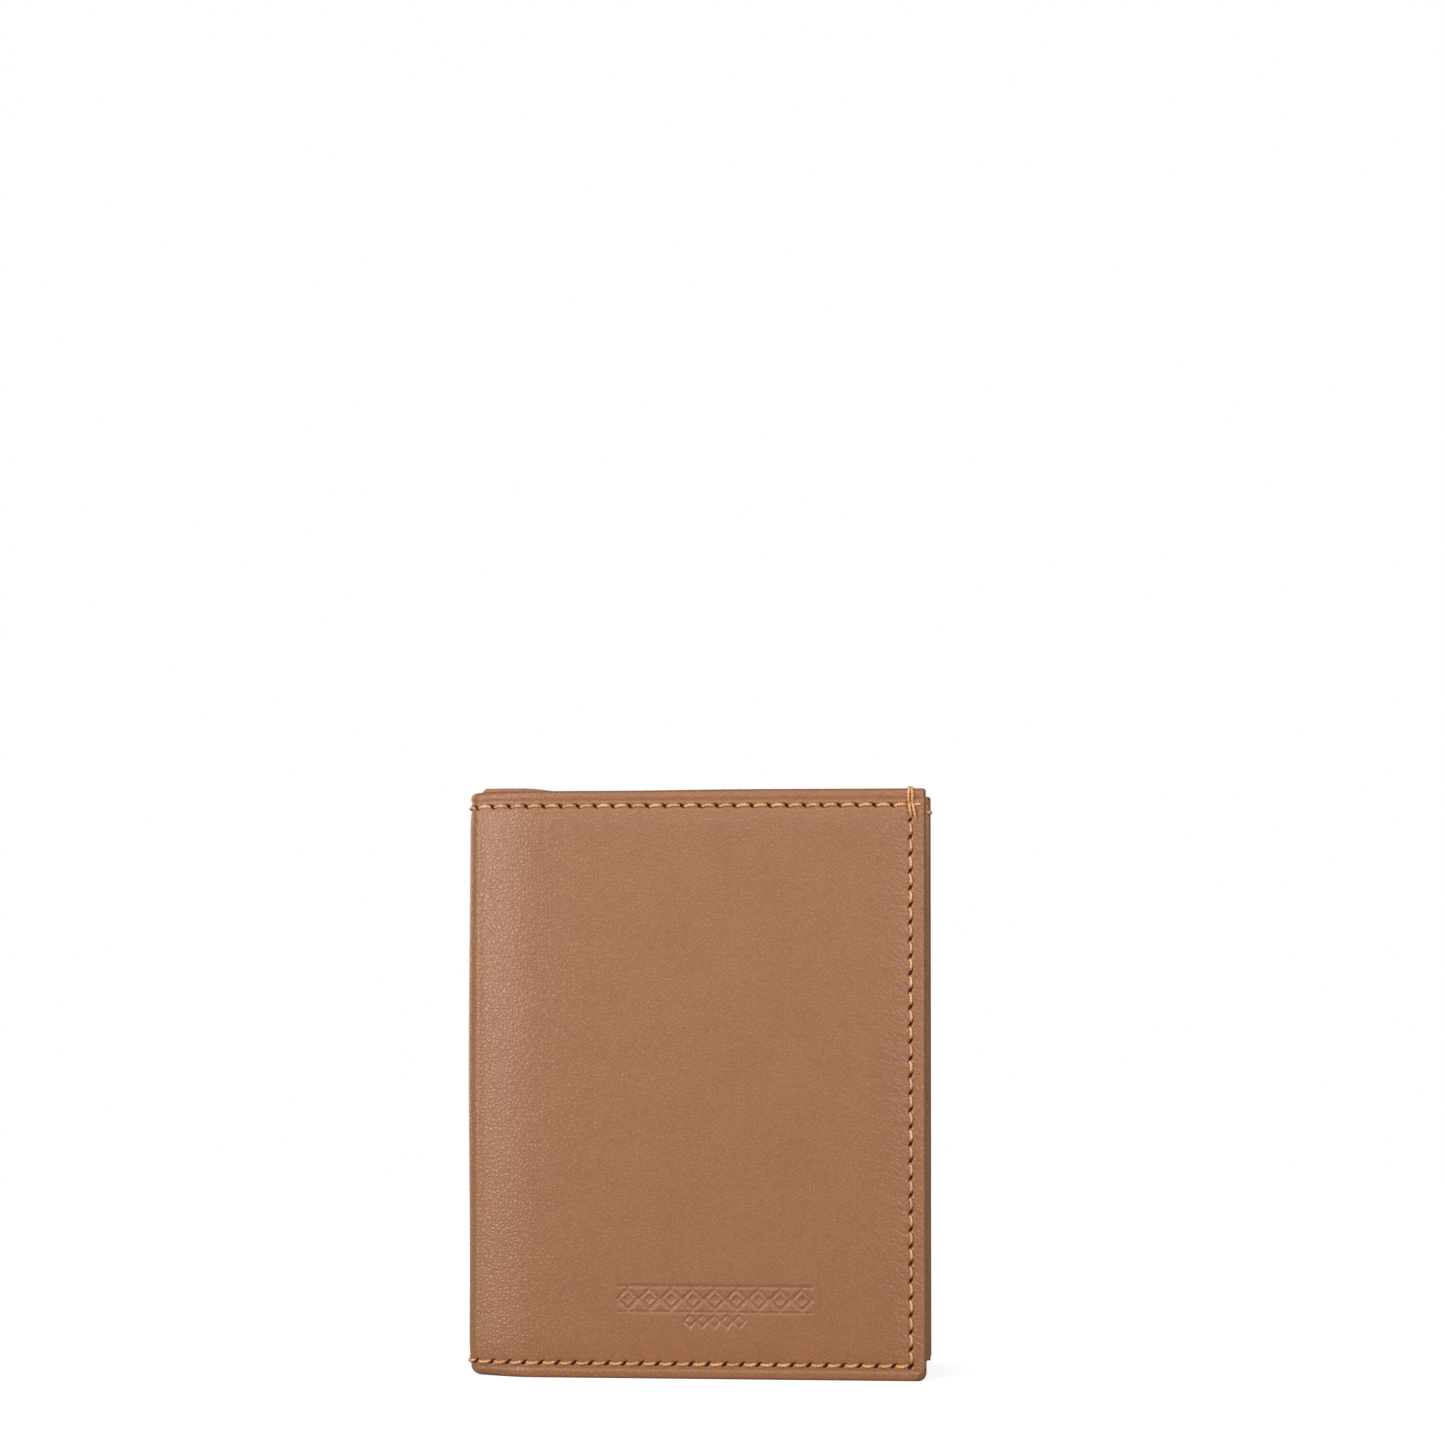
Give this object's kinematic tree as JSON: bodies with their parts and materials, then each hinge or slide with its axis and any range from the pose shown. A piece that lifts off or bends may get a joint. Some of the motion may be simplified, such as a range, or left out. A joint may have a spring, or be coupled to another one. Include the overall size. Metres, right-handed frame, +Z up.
{
  "type": "bifold wallet",
  "caption": "Upright leather bifold wallet standing ajar, with a note compartment, stepped card pockets and an identity window on its inner faces.",
  "frame": {"origin": "middle of the bounding box, on the surface that the wallet stands on", "axes": "+Z up along the wallet's height, +X from the spine to the free edges, +Y from the front half to the back half"},
  "size_m": [0.1012, 0.0324, 0.1254],
  "materials": {
    "cover_leather": "tan full-grain cowhide with a fine pebble and a soft sheen",
    "inner_leather": "the same tan leather, thinner and smoother",
    "board": "bonded fibre board, matt",
    "lining_cloth": "dark brown twill",
    "clear_film": "clear film",
    "thread": "waxed golden tan twisted thread"
  },
  "bodies": {
    "back_half": {"backing_panel_back": "inner_leather", "card_pocket_back_1": "inner_leather", "card_pocket_back_2": "inner_leather", "cover_back": "cover_leather", "inner_seam_back": "thread", "lining_back": "lining_cloth", "note_divider_back": "inner_leather", "outer_seam_back": "thread", "stiffener_back": "board", "window_film": "clear_film", "window_frame": "inner_leather"},
    "spine": {"cover_spine": "cover_leather", "lining_spine": "lining_cloth", "note_divider_spine": "inner_leather", "outer_seam_spine": "thread"},
    "front_half": {"backing_panel_front": "inner_leather", "card_pocket_front_1": "inner_leather", "card_pocket_front_2": "inner_leather", "card_pocket_front_3": "inner_leather", "card_pocket_front_4": "inner_leather", "card_pocket_front_5": "inner_leather", "cover_front": "cover_leather", "inner_seam_front": "thread", "lining_front": "lining_cloth", "note_divider_front": "inner_leather", "outer_seam_front": "thread", "stiffener_front": "board"}
  },
  "joints": [
    {"name": "wallet_fold", "type": "hinge", "parent": "back_half", "child": "spine", "pos_m": [-0.04915, 0.00383, 0.0625], "axis": [0, 0, -1], "range_deg": [-5.5, 84.3]},
    {"name": "front_fold", "type": "hinge", "parent": "spine", "child": "front_half", "pos_m": [-0.04915, -0.00421, 0.0625], "axis": [0, 0, -1], "range_deg": [-5.5, 84.3]}
  ],
  "couplings": [
    {"joint": "front_fold", "follows": "wallet_fold", "ratio": 1}
  ]
}
